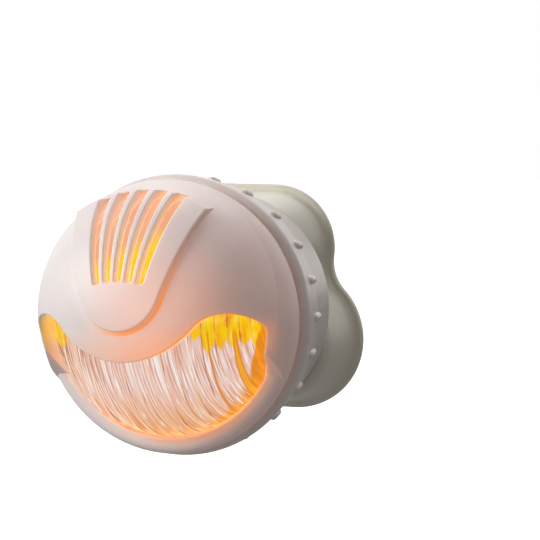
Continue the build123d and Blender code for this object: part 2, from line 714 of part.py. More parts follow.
def make_hood():
    """Hood: dome and raised panel as one wall, with slots and window, on its rim band."""
    panel = make_panel(0)
    panel = fillet(panel.faces().sort_by(Axis.Y)[0].edges(), PANEL_ROUND)
    cavity = make_dome(HOOD_WALL) + make_panel(HOOD_WALL)
    window = make_window()
    shell = make_dome(0) + make_flank() + panel - cavity - window - make_flank_cut()
    shell = fillet(outer_rim(shell, cavity, window), WINDOW_ROUND)
    for i in range(SLOT_COUNT):
        slot = make_slot(i - (SLOT_COUNT - 1) / 2)
        shell -= slot
        shell = fillet(outer_rim(shell, cavity, slot), SLOT_ROUND)
    return aimed(shell + make_band())


def bowl(shrink, rear):
    """Ball-fronted plug shape of the lens, drawn in by an amount, back to a distance."""
    radius = lens_ball_r - shrink
    rim = sqrt(radius**2 - (lens_rim - lens_ball_centre)**2)
    pole = -(lens_ball_centre + radius)
    middle = radius * sqrt(0.5)
    section = Curve() + [
        arc_on((0, -lens_ball_centre), radius, (0, pole), (rim, -lens_rim)),
        Polyline((rim, -lens_rim), (rim, -rear), (0, -rear), (0, pole)),
    ]
    return revolve(make_face(section), Axis.Y)


def make_lens():
    """Clear bowl with upright flutes across its front and a flange round its rear."""
    flute_r = ((FLUTE_WIDE / 2)**2 + FLUTE_DEEP**2) / (2 * FLUTE_DEEP)
    reach = lens_ball_r + flute_r - FLUTE_DEEP
    step = FLUTE_WIDE / lens_ball_r
    count = int(radians(FLUTE_SPREAD_ANGLE) / step)
    lens = bowl(0, flange_rear)
    for i in range(-count, count + 1):
        groove = Rot(0, 90, 0) * Torus(reach * cos(i * step), flute_r)
        lens -= Pos(reach * sin(i * step), -lens_ball_centre, 0) * groove
    lens += rod(flange_r, flange_rear, flange_front)
    return aimed(lens - bowl(LENS_WALL, flange_rear))


def make_amber_filter():
    """Thin amber bowl behind the lens, covering all but its lower part."""
    outer = LENS_WALL + TURN_FIT
    shell = bowl(outer, flange_rear) - bowl(outer + FILTER_WALL, flange_rear)
    room = 2 * LENS_RIM_R
    keep = Pos(0, -lens_rim, FILTER_LOW + room / 2) * Box(room, 2 * room, room)
    return aimed(shell & keep)


def make_lens_clamp():
    """Ring pressed into the hood's skirt behind the lens and the filter."""
    return aimed(ring(flange_r - CLAMP_WIDE, flange_r, flange_rear - CLAMP_THICK, flange_rear))


def main():
    """Build every piece and write each to its own file."""
    pieces = {
        "plug_shell": make_plug_shell(),
        "plug_base": make_plug_base(),
        "base_screws": make_base_screws(),
        "line_pin": make_pin(PIN_SPACING / 2),
        "neutral_pin": make_pin(-PIN_SPACING / 2),
        "pin_sleeves": make_pin_sleeves(),
        "earth_pin": make_earth_pin(),
        "line_strip": make_line_strip(),
        "neutral_strip": make_neutral_strip(),
        "centre_contact": make_centre_contact(),
        "lamp_holder": make_lamp_holder(),
        "holder_sleeve": make_holder_sleeve(),
        "lamp_contact": make_lamp_contact(),
        "lamp_insulator": make_lamp_insulator(),
        "lamp_cap": make_lamp_cap(),
        "lamp_glass": make_lamp_glass(),
        "lamp_stem": make_lamp_stem(),
        "lamp_filament": make_lamp_filament(),
        "turn_washer": make_turn_washer(),
        "neck_clip": make_neck_clip(),
        "shade_cup": make_shade_cup(),
        "grip_ring": make_grip_ring(),
        "hood": make_hood(),
        "lens": make_lens(),
        "amber_filter": make_amber_filter(),
        "lens_clamp": make_lens_clamp(),
    }
    os.makedirs("parts", exist_ok=True)
    for name, piece in pieces.items():
        export_step(piece, f"parts/{name}.step")


if __name__ == "__main__":
    main()
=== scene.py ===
"""Looks of a plug-in night light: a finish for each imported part, and the studio it is seen in.

Metres in Blender, millimetres in the sizes below. +Y points to the rear, as the pins do, +X to the
right seen from the front, +Z up. A distance d runs forwards from the plug's rear face, so a point at
distance d has y = -d.
"""
import logging
import math
from dataclasses import dataclass
from enum import Enum

import bpy
from mathutils import Matrix, Vector

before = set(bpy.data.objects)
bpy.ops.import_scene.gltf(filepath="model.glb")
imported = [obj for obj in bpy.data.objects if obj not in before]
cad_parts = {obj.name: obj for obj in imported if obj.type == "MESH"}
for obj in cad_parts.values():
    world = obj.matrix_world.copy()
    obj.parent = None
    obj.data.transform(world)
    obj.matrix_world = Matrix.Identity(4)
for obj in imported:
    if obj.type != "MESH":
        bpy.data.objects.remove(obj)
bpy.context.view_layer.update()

LOG = logging.getLogger("night_light")
MM = 0.001

Node = bpy.types.Node
Tree = bpy.types.NodeTree
Value = Node | bpy.types.NodeSocket | float | tuple
Stops = tuple[tuple[float, str], ...]
Span = tuple[float, float]
Point = tuple[float, float, float]


def linear(hex_colour: str) -> tuple[float, float, float, float]:
    """Turn an sRGB hex colour into the linear colour that shaders use.

    Args:
        hex_colour: Colour as "#RRGGBB".

    Returns:
        Linear red, green, blue and an alpha of 1.
    """
    levels = [int(hex_colour[i:i + 2], 16) / 255 for i in (1, 3, 5)]
    parts = [v / 12.92 if v <= 0.04045 else ((v + 0.055) / 1.055) ** 2.4 for v in levels]
    return (parts[0], parts[1], parts[2], 1.0)


def add_node(tree: Tree, kind: str, inputs: dict[int | str, Value] | None = None,
             **settings: object) -> Node:
    """Add one node, with its settings, its constants and its links.

    Args:
        tree: Tree to fill.
        kind: Blender's identifier of the node, without the ShaderNode that starts it.
        inputs: Input name or number, and a constant, a socket, or a node whose first output in use is
            taken.
        **settings: Properties of the node.

    Returns:
        The new node.
    """
    made = tree.nodes.new("ShaderNode" + kind)
    for name, value in settings.items():
        setattr(made, name, value)
    for key, value in (inputs or {}).items():
        if isinstance(value, Node):
            value = next(socket for socket in value.outputs if socket.enabled)
        if isinstance(value, bpy.types.NodeSocket):
            tree.links.new(value, made.inputs[key])
        else:
            made.inputs[key].default_value = value
    return made


def set_stops(ramp: Node, stops: Stops) -> Node:
    """Give a colour ramp its stops.

    Args:
        ramp: Colour ramp node with its two first stops.
        stops: Position from 0 to 1 and sRGB hex colour of each stop, in order.

    Returns:
        The same node.
    """
    elements = ramp.color_ramp.elements
    while len(elements) < len(stops):
        elements.new(1.0)
    for element, (position, colour) in zip(elements, stops):
        element.position = position
        element.color = linear(colour)
    return ramp


def mottle(tree: Tree, place: Value, size_mm: float, colours: tuple[str, str],
           roughness: float = 0.5) -> Node:
    """Add a colour with faint clouds in it.

    Args:
        tree: Tree to fill.
        place: Place on the part.
        size_mm: Size of one cloud.
        colours: Colour of the clouds, and colour between them.
        roughness: Roughness of the noise that draws them.

    Returns:
        Node that gives the colour.
    """
    cloud = add_node(tree, "TexNoise", {"Vector": place, "Scale": 1 / (size_mm * MM),
                     "Detail": 3.0, "Roughness": roughness})
    between = add_node(tree, "MapRange", {"Value": cloud, "From Min": 0.3, "From Max": 0.7})
    return add_node(tree, "Mix", {"Factor": between, "A": linear(colours[0]),
                    "B": linear(colours[1])}, data_type="RGBA")


def dress(node_name: str, material: bpy.types.Material) -> bpy.types.Object:
    """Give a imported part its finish.

    Args:
        node_name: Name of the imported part.
        material: Finish for its whole surface.

    Returns:
        The part's object.
    """
    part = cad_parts[node_name]
    part.data.materials.clear()
    part.data.materials.append(material)
    return part


@dataclass(frozen=True)
class Grain:
    """Fine grain that a mould leaves on a skin.

    Real grain of about 0.1 mm is finer than a pixel of the render, which is about 0.2 mm on the part.
    So it is drawn as coarse as it needs to be to show.
    """

    size_mm: float = 0.35
    depth_mm: float = 0.004  # Depth between the grains
    strength: float = 0.35  # Share of that depth which shows
    roughness: float = 0.6  # Roughness of the noise that draws it

    def add(self, tree: Tree, place: Value, gloss: Span) -> tuple[Node, Node]:
        """Add the relief, and a gloss that changes with it.

        Args:
            tree: Tree to fill.
            place: Place on the part.
            gloss: Roughness of the surface between the grains and on them.

        Returns:
            Bump node, and node that gives the roughness of the surface.
        """
        noise = add_node(tree, "TexNoise", {"Vector": place, "Scale": 1 / (self.size_mm * MM),
                         "Detail": 2.0, "Roughness": self.roughness})
        bump = add_node(tree, "Bump", {"Height": noise, "Strength": self.strength,
                        "Distance": self.depth_mm * MM})
        return bump, add_node(tree, "MapRange", {"Value": noise, "To Min": gloss[0], "To Max": gloss[1]})


@dataclass(frozen=True)
class Finish:
    """Finish of a part, named for what the part is made of."""

    name: str

    def surface(self, tree: Tree) -> Node:
        """Add what the finish looks like. Each kind of finish has its own.

        Args:
            tree: Tree to fill.

        Returns:
            Its one Principled node.
        """
        raise NotImplementedError

    def build(self) -> bpy.types.Material:
        """Build the material.

        Returns:
            The new material.
        """
        material = bpy.data.materials.new(self.name)
        material.use_nodes = True
        tree = material.node_tree
        tree.nodes.clear()
        add_node(tree, "OutputMaterial", {"Surface": self.surface(tree)})
        return material


@dataclass(frozen=True)
class MouldedSkin(Finish):
    """Skin of plastic or black glass out of a mould: satin, faintly cloudy, with soft edges of light."""

    colour: str
    shade: str  # Colour of the faint clouds in it
    roughness: float = 0.38
    grain: Grain = Grain()
    cloud_mm: float = 9.0
    subsurface: float = 0.0  # Share of the light that goes into the piece and comes out beside
    depth_mm: Point = (1.0, 0.8, 0.7)  # How far red, green and blue go in
    coat: float = 0.15  # Share of a clear gloss on top
    uneven: Span = (-0.05, 0.06)  # How much smoother it is between the grains, and rougher on them

    def surface(self, tree: Tree) -> Node:
        """Add the finish.

        Args:
            tree: Tree to fill.

        Returns:
            Material with a cloudy tint and a fine grain.
        """
        place = add_node(tree, "TexCoord").outputs["Object"]
        colour = mottle(tree, place, self.cloud_mm, (self.shade, self.colour), roughness=0.55)
        bump, gloss = self.grain.add(tree, place, tuple(self.roughness + more for more in self.uneven))
        deepest = max(self.depth_mm)
        return add_node(tree, "BsdfPrincipled", {
            "Base Color": colour, "Roughness": gloss, "Normal": bump, "IOR": 1.53,
            "Coat Weight": self.coat, "Coat Roughness": 0.22, "Subsurface Weight": self.subsurface,
            "Subsurface Radius": tuple(depth / deepest for depth in self.depth_mm),
            "Subsurface Scale": deepest * MM})


@dataclass(frozen=True)
class Metal(Finish):
    """Turned, drawn or pressed metal: a shine drawn out by fine tool lines, with a slight tarnish.

    Real tool lines of about 0.03 mm are too fine to show, so they are drawn four times as coarse.
    """

    colour: str  # Colour of the clean metal
    tarnish: str  # Colour that it dulls towards
    roughness: float = 0.28
    uneven: Span = (-0.08, 0.12)  # How much smoother it is between the lines, and rougher in them
    line_mm: float = 0.12  # Distance between two lines
    line_depth_mm: float = 0.01
    cloud_mm: float = 3.0  # Size of a dulled place
    dulled: float = 0.6  # Share of the tarnish in the most dulled places
    # Scale of the lines in each direction, small in the one that they run in
    along: Point = (1.0, 0.06, 1.0)

    def surface(self, tree: Tree) -> Node:
        """Add the finish.

        Args:
            tree: Tree to fill.

        Returns:
            Metal with tool lines and dulled places.
        """
        place = add_node(tree, "TexCoord").outputs["Object"]
        stretch = add_node(tree, "Mapping", {"Vector": place, "Scale": self.along})
        lines = add_node(tree, "TexNoise", {"Vector": stretch, "Scale": 1 / (self.line_mm * MM),
                         "Detail": 3.0})
        cloud = add_node(tree, "TexNoise", {"Vector": place, "Scale": 1 / (self.cloud_mm * MM),
                         "Detail": 4.0})
        age = add_node(tree, "MapRange", {"Value": cloud, "From Min": 0.5, "From Max": 0.75,
                       "To Max": self.dulled})
        colour = add_node(tree, "Mix", {"Factor": age, "A": linear(self.colour),
                          "B": linear(self.tarnish)}, data_type="RGBA")
        gloss = add_node(tree, "MapRange", {"Value": lines, "To Min": self.roughness + self.uneven[0],
                         "To Max": self.roughness + self.uneven[1]})
        bump = add_node(tree, "Bump", {"Height": lines, "Strength": 0.25,
                        "Distance": self.line_depth_mm * MM})
        return add_node(tree, "BsdfPrincipled", {
            "Base Color": colour, "Metallic": 1.0, "Roughness": gloss, "Normal": bump})


class Glass(Enum):
    """Kinds of glass in the lamp, each with its refractive index."""

    SODA_LIME = 1.52
    LEAD = 1.56


@dataclass(frozen=True)
class ClearGlass(Finish):
    """Blown or pressed glass: clear, with slow waves in it, and a faint warm glow painted on for the wire
    behind it.
    """

    glass: Glass
    warmth: str  # Colour of the painted glow from the wire
    light: float  # Strength of that light
    wave_mm: float = 2.5  # Length of one wave
    wave_depth_mm: float = 0.05

    def surface(self, tree: Tree) -> Node:
        """Add the finish.

        Args:
            tree: Tree to fill.

        Returns:
            Glass that lets the wire show, with a faint painted glow of its own.
        """
        place = add_node(tree, "TexCoord").outputs["Object"]
        wave = add_node(tree, "TexNoise", {"Vector": place, "Scale": 1 / (self.wave_mm * MM),
                        "Detail": 1.0})
        bump = add_node(tree, "Bump", {"Height": wave, "Strength": 0.2,
                        "Distance": self.wave_depth_mm * MM})
        return add_node(tree, "BsdfPrincipled", {
            "Base Color": linear("#FFF6E6"), "Roughness": 0.03, "IOR": self.glass.value,
            "Transmission Weight": 1.0, "Normal": bump, "Emission Color": linear(self.warmth),
            "Emission Strength": self.light})


@dataclass(frozen=True)
class HotWire(Finish):
    """Tungsten at a low heat: orange at the ends of the coil and near white in its middle."""

    ends: str  # Colour of its light at the coil's ends
    middle: str  # Colour in the coil's middle
    light: float
    half_span_mm: float  # Half the length of the coil

    def surface(self, tree: Tree) -> Node:
        """Add the finish.

        Args:
            tree: Tree to fill.

        Returns:
            Metal whose light whitens towards the middle of the coil.
        """
        place = add_node(tree, "TexCoord").outputs["Object"]
        across = add_node(tree, "SeparateXYZ", {"Vector": place})
        side = add_node(tree, "Math", {0: across.outputs["X"]}, operation="ABSOLUTE")
        heat = add_node(tree, "MapRange", {"Value": side, "From Min": self.half_span_mm * MM,
                        "From Max": 0.0})
        colour = set_stops(add_node(tree, "ValToRGB", {"Fac": heat}),
                           ((0.0, self.ends), (1.0, self.middle)))
        return add_node(tree, "BsdfPrincipled", {
            "Base Color": linear("#5A544E"), "Metallic": 1.0, "Roughness": 0.4,
            "Emission Color": colour, "Emission Strength": self.light})


@dataclass(frozen=True)
class SlantedFade:
    """A share that grows from 0 to 1 with the height, and does so lower down at the left."""

    start_mm: float  # Height over the axis at which it starts
    end_mm: float  # Height at which it is full
    slant: float = 0.45  # How much lower both lie for each millimetre to the left

    def add(self, tree: Tree, across: Value, up: Value) -> Node:
        """Add the share.

        Args:
            tree: Tree to fill.
            across: Distance to the right of the axis.
            up: Height over the axis.

        Returns:
            Node from 0 to 1.
        """
        level = add_node(tree, "Math", {0: across, 1: -self.slant, 2: up}, operation="MULTIPLY_ADD")
        return add_node(tree, "MapRange", {
            "Value": level, "From Min": self.start_mm * MM, "From Max": self.end_mm * MM},
            interpolation_type="SMOOTHSTEP")


@dataclass(frozen=True)
class AmberSheet(Finish):
    """Amber polycarbonate, lit from behind with a painted glow: bright yellow before the lamp, fading to
    peach above it.
    """

    tones: Stops = ((0.3, "#FFB000"), (0.5, "#FFC800"), (0.72, "#FFDC20"))
    far: str = "#F5B088"  # Colour that it fades to
    light: float = 0.9
    streak_mm: float = 2.2  # Width of one streak
    # Scale of the streaks in each direction, small in those that they run in
    stretch: Point = (1.0, 0.3, 0.12)
    fade: SlantedFade = SlantedFade(13.5, 18.5)  # How its yellow goes towards the top and the left

    def surface(self, tree: Tree) -> Node:
        """Add the finish.

        Args:
            tree: Tree to fill.

        Returns:
            Plastic with a painted glow in upright streaks.
        """
        place = add_node(tree, "TexCoord").outputs["Object"]
        stretch = add_node(tree, "Mapping", {"Vector": place, "Scale": self.stretch})
        streak = add_node(tree, "TexNoise", {"Vector": stretch, "Detail": 3.0,
                          "Scale": 1 / (self.streak_mm * MM)})
        colour = set_stops(add_node(tree, "ValToRGB", {"Fac": streak}), self.tones)
        at = add_node(tree, "SeparateXYZ", {"Vector": place})
        away = self.fade.add(tree, at.outputs["X"], at.outputs["Z"])
        glow = add_node(tree, "Mix", {"Factor": away, "A": colour, "B": linear(self.far)},
                        data_type="RGBA")
        return add_node(tree, "BsdfPrincipled", {
            "Base Color": glow, "Roughness": 0.3, "IOR": 1.58, "Emission Color": glow,
            "Emission Strength": self.light})


class Way(Enum):
    """Ways in which a place on the shade is measured, with the shade's tilt taken out."""

    ACROSS = "to the right of the axis"
    DEPTH = "to the rear"
    UP = "over the axis"
    PAST_OPENING = "outwards from the edge of the lens's opening"


Measures = dict[Way, Value]


@dataclass(frozen=True)
class Fade:
    """A value that changes evenly between two places."""

    way: Way  # Way in which the places are measured
    start_mm: float  # Place of the low value
    end_mm: float  # Place of the high value
    low: float = 0.0
    high: float = 1.0

    def add(self, tree: Tree, measures: Measures) -> Node:
        """Add the value.

        Args:
            tree: Tree to fill.
            measures: Measures of the place, in metres.

        Returns:
            Node that gives the value.
        """
        return add_node(tree, "MapRange", {
            "Value": measures[self.way], "From Min": self.start_mm * MM, "From Max": self.end_mm * MM,
            "To Min": self.low, "To Max": self.high})


def weaken(tree: Tree, share: Value, fades: tuple[Fade, ...], measures: Measures) -> Value:
    """Multiply a share by fades.

    Args:
        tree: Tree to fill.
        share: The share.
        fades: The fades.
        measures: Measures of the place.

    Returns:
        What is left of the share.
    """
    for fade in fades:
        share = add_node(tree, "Math", {0: share, 1: fade.add(tree, measures)}, operation="MULTIPLY")
    return share


@dataclass(frozen=True)
class ShadeSpace:
    """The shade's own directions: its tilt, and the ball that the lens is a part of."""

    tilt_deg: float = 2.6  # Turn of the shade at rest
    ball_d: float = 35.437  # Distance of the ball's middle from the plug's rear face
    ball_r: float = 22.063
    flute_mm: float = 2.4  # Width of one flute of the lens

    def local(self, tree: Tree) -> Node:
        """Add the place on the shade with its tilt taken out.

        Args:
            tree: Tree to fill.

        Returns:
            Node that gives the place in metres.
        """
        place = add_node(tree, "TexCoord")
        return add_node(tree, "VectorRotate", {
            "Vector": place.outputs["Object"], "Axis": (0.0, 1.0, 0.0),
            "Angle": math.radians(self.tilt_deg)}, rotation_type="AXIS_ANGLE")

    def measures(self, tree: Tree, local: Node) -> Measures:
        """Split a place into what it measures in each way.

        Args:
            tree: Tree to fill.
            local: Untilted place.

        Returns:
            Measures in metres.
        """
        at = add_node(tree, "SeparateXYZ", {"Vector": local})
        return {Way.ACROSS: at.outputs["X"], Way.DEPTH: at.outputs["Y"], Way.UP: at.outputs["Z"]}

    def direction(self, tree: Tree, local: Node) -> Node:
        """Add the direction from the middle of the lens's ball.

        Args:
            tree: Tree to fill.
            local: Untilted place.

        Returns:
            Separate XYZ node of the unit direction; its Y is -1 at the lens's front.
        """
        centred = add_node(tree, "VectorMath", {0: local, 1: (0.0, self.ball_d * MM, 0.0)},
                           operation="ADD")
        unit = add_node(tree, "VectorMath", {0: centred}, operation="NORMALIZE")
        return add_node(tree, "SeparateXYZ", {"Vector": unit})


@dataclass(frozen=True)
class LensPlace:
    """Nodes that say where a point lies on the lens, and two patterns that follow its flutes."""

    measures: Measures
    front: Node  # How far the surface looks to the front, from 0 to 1
    flute: Node  # Number of the flute, from left to right
    across: Node  # Place across the flute, from 0 to 1
    down: Node  # Angle along the flute, in radians, negative below the lens's middle
    streak: Node
    dash: Node


@dataclass(frozen=True)
class Streaks:
    """Noise drawn out along the flutes."""

    fine: float  # Streaks across one flute
    along: float  # Streaks along one radian of a flute
    slant: float  # Share of a flute that a streak crosses in one radian

    def add(self, tree: Tree, flute: Node, down: Node) -> Node:
        """Add the noise.

        Args:
            tree: Tree to fill.
            flute: Number of the flute.
            down: Angle along the flute.

        Returns:
            Noise node.
        """
        run = add_node(tree, "Math", {0: flute, 1: self.fine}, operation="MULTIPLY")
        slanted = add_node(tree, "Math", {0: down, 1: self.slant * self.fine, 2: run},
                           operation="MULTIPLY_ADD")
        length = add_node(tree, "Math", {0: down, 1: self.along}, operation="MULTIPLY")
        where = add_node(tree, "CombineXYZ", {"X": slanted, "Y": length})
        return add_node(tree, "TexNoise", {"Vector": where, "Scale": 1.0, "Detail": 3.0,
                        "Roughness": 0.6})


@dataclass(frozen=True)
class ClearPart:
    """Painted light of the clear part: peach streaks, more orange low down and at the rim, and browner,
    darker painted shade at the left.
    """

    # Colours of the streaks
    peach: Stops = ((0.28, "#A08484"), (0.37, "#DFA58C"), (0.47, "#F0C6B8"), (0.57, "#F9E2DA"),
                    (0.66, "#FFFFFF"))
    # Their colours low down and at the rim
    warm: Stops = ((0.28, "#C86A04"), (0.44, "#EE900C"), (0.58, "#F8AA44"), (0.72, "#FFE4BC"))
    # Their darker colours at the left, for painted shade
    brown: Stops = ((0.36, "#6E3E22"), (0.43, "#D28E58"), (0.52, "#F2BC98"), (0.66, "#FFF4EC"))
    low: Fade = Fade(Way.UP, -10.5, -20.0, high=0.8)  # How they turn warm downwards
    # How far the surface looks to the front where the rim's warmth starts, and where it is full
    rim: Span = (0.50, 0.26)
    # How much of the rim's warmth there is from left to right
    right: Fade = Fade(Way.ACROSS, -8.0, 8.0, low=0.25)
    left: Span = (-1.5, -6.5)  # Numbers of the flutes between which the painted shade turns them brown
    left_painted_shade: float = 0.9  # Share of the brown painted shade at the left
    high: Fade = Fade(Way.UP, -15.0, -7.0)  # How the brown grows upwards

    def add(self, tree: Tree, on: LensPlace) -> Node:
        """Add the light.

        Args:
            tree: Tree to fill.
            on: Place on the lens.

        Returns:
            Node that gives the colour.
        """
        peach, warm, brown = (set_stops(add_node(tree, "ValToRGB", {"Fac": on.streak}), tones)
                              for tones in (self.peach, self.warm, self.brown))
        edge = add_node(tree, "MapRange", {"Value": on.front, "From Min": self.rim[0],
                        "From Max": self.rim[1]}, interpolation_type="SMOOTHSTEP")
        rim = weaken(tree, edge, (self.right,), on.measures)
        share = add_node(tree, "Math", {0: self.low.add(tree, on.measures), 1: rim}, operation="MAXIMUM")
        warmed = add_node(tree, "Mix", {"Factor": share, "A": peach, "B": warm}, data_type="RGBA")
        left = add_node(tree, "MapRange", {"Value": on.flute, "From Min": self.left[0],
                        "From Max": self.left[1], "To Max": self.left_painted_shade})
        dim = weaken(tree, left, (self.high,), on.measures)
        return add_node(tree, "Mix", {"Factor": dim, "A": warmed, "B": brown}, data_type="RGBA")


@dataclass(frozen=True)
class AmberPart:
    """The lit amber sheet as it shows through the flutes, painted as the lens's light, down to a ragged
    edge.
    """

    tones: Stops = ((0.32, "#EE8C00"), (0.43, "#FFB800"), (0.53, "#FFCE00"), (0.68, "#FFE000"))
    low_mm: float = -3.6  # Height of its edge before the flutes move it
    notch_at: float = 0.4  # Place across a flute where the edge is lowest
    notch_mm: float = 3.5  # How much it rises for each flute beside that place
    drip_mm: float = -1.8  # How much the edge moves at most from flute to flute
    ragged_mm: float = -4.0  # How much it moves at most with the streaks
    # How much higher the edge lies away from the right end, in metres
    shorter: Fade = Fade(Way.ACROSS, 13.0, 9.0, high=4.0 * MM)
    longer: Fade = Fade(Way.ACROSS, -15.0, -11.0)  # Where it lies low again at the left
    # Height over the edge where the sheet starts to show, and where it shows fully
    blur_mm: Span = (1.7, 2.4)

    def share(self, tree: Tree, on: LensPlace) -> Node:
        """Add how much of the sheet shows.

        Args:
            tree: Tree to fill.
            on: Place on the lens.

        Returns:
            Node from 0 to 1.
        """
        number = add_node(tree, "Math", {0: on.flute}, operation="FLOOR")
        own = add_node(tree, "TexWhiteNoise", {"W": number}, noise_dimensions="1D")
        off_notch = add_node(tree, "Math", {0: on.across, 1: self.notch_at}, operation="SUBTRACT")
        beside = add_node(tree, "Math", {0: off_notch}, operation="ABSOLUTE")
        edge = self.low_mm * MM
        for cause, most_mm in ((beside, self.notch_mm), (own, self.drip_mm), (on.streak, self.ragged_mm)):
            edge = add_node(tree, "Math", {0: cause, 1: most_mm * MM, 2: edge}, operation="MULTIPLY_ADD")
        line = add_node(tree, "Math", {0: self.shorter.add(tree, on.measures),
                        1: self.longer.add(tree, on.measures), 2: edge}, operation="MULTIPLY_ADD")
        above = add_node(tree, "Math", {0: on.measures[Way.UP], 1: line}, operation="SUBTRACT")
        return add_node(tree, "MapRange", {
            "Value": above, "From Min": self.blur_mm[0] * MM, "From Max": self.blur_mm[1] * MM},
            interpolation_type="SMOOTHSTEP")


@dataclass(frozen=True)
class Ridges:
    """Thin painted lines along the ridges between the flutes, from dark shade to orange light along their
    length, and painted white highlights beside them.
    """

    # Colours of the painted lines, from dark shade to orange light
    tones: Stops = ((0.36, "#7A4A34"), (0.44, "#D08A50"), (0.52, "#F0A040"), (0.62, "#F2B888"))
    # Distance from the ridge at which a line ends, and at which it is full, in flutes
    width: Span = (0.07, 0.02)
    strength: float = 0.85  # Share of the line where it is full
    dashes: Span = (0.60, 0.50)  # Value of the dashes from which a line is gone, and up to which it is full
    gleam_at: float = 0.30  # Place of a gleam across its flute
    # Distance from there at which it ends, and at which it is full, in flutes
    gleam_width: Span = (0.08, 0.02)
    # Value of the dashes up to which a gleam is gone, and from which it is full
    gleam_dashes: Span = (0.52, 0.64)
    gleam_on_amber: float = 0.35  # Share of a gleam before the amber sheet

    def draw(self, tree: Tree, under: Node, on: LensPlace, sheet: Node) -> Node:
        """Draw the painted lines and the painted highlights.

        Args:
            tree: Tree to fill.
            under: Colour so far.
            on: Place on the lens.
            sheet: How much of the amber sheet shows.

        Returns:
            Node that gives the colour.
        """
        off_ridge = add_node(tree, "Math", {0: on.across, 1: 0.5}, operation="PINGPONG")
        off_gleam = add_node(tree, "Math", {0: on.across, 1: self.gleam_at}, operation="SUBTRACT")
        beside = add_node(tree, "Math", {0: off_gleam}, operation="ABSOLUTE")
        ridge, gone, gleam, bright = (
            add_node(tree, "MapRange", {"Value": value, "From Min": ends[0],
                     "From Max": ends[1], "To Max": most})
            for value, ends, most in ((off_ridge, self.width, self.strength), (on.dash, self.dashes, 1.0),
                                      (beside, self.gleam_width, 1.0), (on.dash, self.gleam_dashes, 1.0)))
        line = add_node(tree, "Math", {0: ridge, 1: gone}, operation="MULTIPLY")
        tone = set_stops(add_node(tree, "ValToRGB", {"Fac": on.dash}), self.tones)
        lined = add_node(tree, "Mix", {"Factor": line, "A": under, "B": tone}, data_type="RGBA")
        shine = add_node(tree, "Math", {0: gleam, 1: bright}, operation="MULTIPLY")
        off_sheet = add_node(tree, "MapRange", {"Value": sheet, "To Min": 1.0,
                             "To Max": self.gleam_on_amber})
        share = add_node(tree, "Math", {0: shine, 1: off_sheet}, operation="MULTIPLY")
        return add_node(tree, "Mix", {"Factor": share, "A": lined, "B": linear("#FFFFFF")},
                        data_type="RGBA")


@dataclass(frozen=True)
class OrangeEnd:
    """Smooth orange light painted at the right end of the lens."""

    tones: Stops = ((0.30, "#DE7C00"), (0.50, "#EE8C04"), (0.70, "#F8A218"))
    flute: float = 11.4  # Number of the flute at which it begins, at the height of the lens's middle
    slope: float = 2.77  # How many flutes further to the left it begins for each radian down
    blur: float = 0.1  # Half the width of its soft edge, in flutes

    def draw(self, tree: Tree, under: Node, on: LensPlace) -> Node:
        """Draw the orange end.

        Args:
            tree: Tree to fill.
            under: Colour so far.
            on: Place on the lens.

        Returns:
            Node that gives the colour.
        """
        tone = set_stops(add_node(tree, "ValToRGB", {"Fac": on.streak}), self.tones)
        turned = add_node(tree, "Math", {0: on.down, 1: -self.slope, 2: on.flute},
                          operation="MULTIPLY_ADD")
        share = add_node(tree, "MapRange", {"Value": turned, "From Min": self.flute - self.blur,
                         "From Max": self.flute + self.blur})
        return add_node(tree, "Mix", {"Factor": share, "A": under, "B": tone}, data_type="RGBA")


@dataclass(frozen=True)
class OrangeBand:
    """Band of painted orange light along a flute, that widens downwards."""

    middle: float  # Number of the flute that it runs along
    narrow: float  # Half its width at its top, in flutes
    wide: float  # Half its width at its foot
    widens: Span = (-0.1, -0.8)  # Angles along the flute between which it widens
    # Distance from its side where it starts, and inside it where it is full, in flutes
    blur: Span = (-0.03, 0.05)
    tones: Stops = ((0.01, "#D87400"), (0.10, "#F59808"), (0.20, "#FFB428"), (0.34, "#F79A10"))
    below: Fade = Fade(Way.UP, -0.6, -1.8)  # Heights between which it comes up

    def draw(self, tree: Tree, under: Node, on: LensPlace) -> Node:
        """Draw the band.

        Args:
            tree: Tree to fill.
            under: Colour so far.
            on: Place on the lens.

        Returns:
            Node that gives the colour.
        """
        from_middle = add_node(tree, "Math", {0: on.flute, 1: self.middle}, operation="SUBTRACT")
        beside = add_node(tree, "Math", {0: from_middle}, operation="ABSOLUTE")
        half = add_node(tree, "MapRange", {
            "Value": on.down, "From Min": self.widens[0], "From Max": self.widens[1],
            "To Min": self.narrow, "To Max": self.wide})
        inside = add_node(tree, "Math", {0: half, 1: beside}, operation="SUBTRACT")
        band = add_node(tree, "MapRange", {"Value": inside, "From Min": self.blur[0],
                        "From Max": self.blur[1]})
        share = weaken(tree, band, (self.below,), on.measures)
        tone = set_stops(add_node(tree, "ValToRGB", {"Fac": inside}), self.tones)
        return add_node(tree, "Mix", {"Factor": share, "A": under, "B": tone}, data_type="RGBA")


@dataclass(frozen=True)
class SlotGlow:
    """Even painted glow under the hood's slots, yellow and peach towards the top."""

    yellow: str = "#FFD000"  # Its colour low down
    peach: str = "#F4AC84"  # Its colour at the top
    fade: SlantedFade = SlantedFade(12.0, 15.5)  # How it turns peach
    above: Fade = Fade(Way.UP, 3.0, 5.0)  # Heights between which it takes the place of the streaks

    def draw(self, tree: Tree, under: Node, on: LensPlace) -> Node:
        """Draw the glow.

        Args:
            tree: Tree to fill.
            under: Colour so far.
            on: Place on the lens.

        Returns:
            Node that gives the colour.
        """
        fade = self.fade.add(tree, on.measures[Way.ACROSS], on.measures[Way.UP])
        glow = add_node(tree, "Mix", {"Factor": fade, "A": linear(self.yellow),
                        "B": linear(self.peach)}, data_type="RGBA")
        return add_node(tree, "Mix", {"Factor": self.above.add(tree, on.measures),
                        "A": under, "B": glow}, data_type="RGBA")


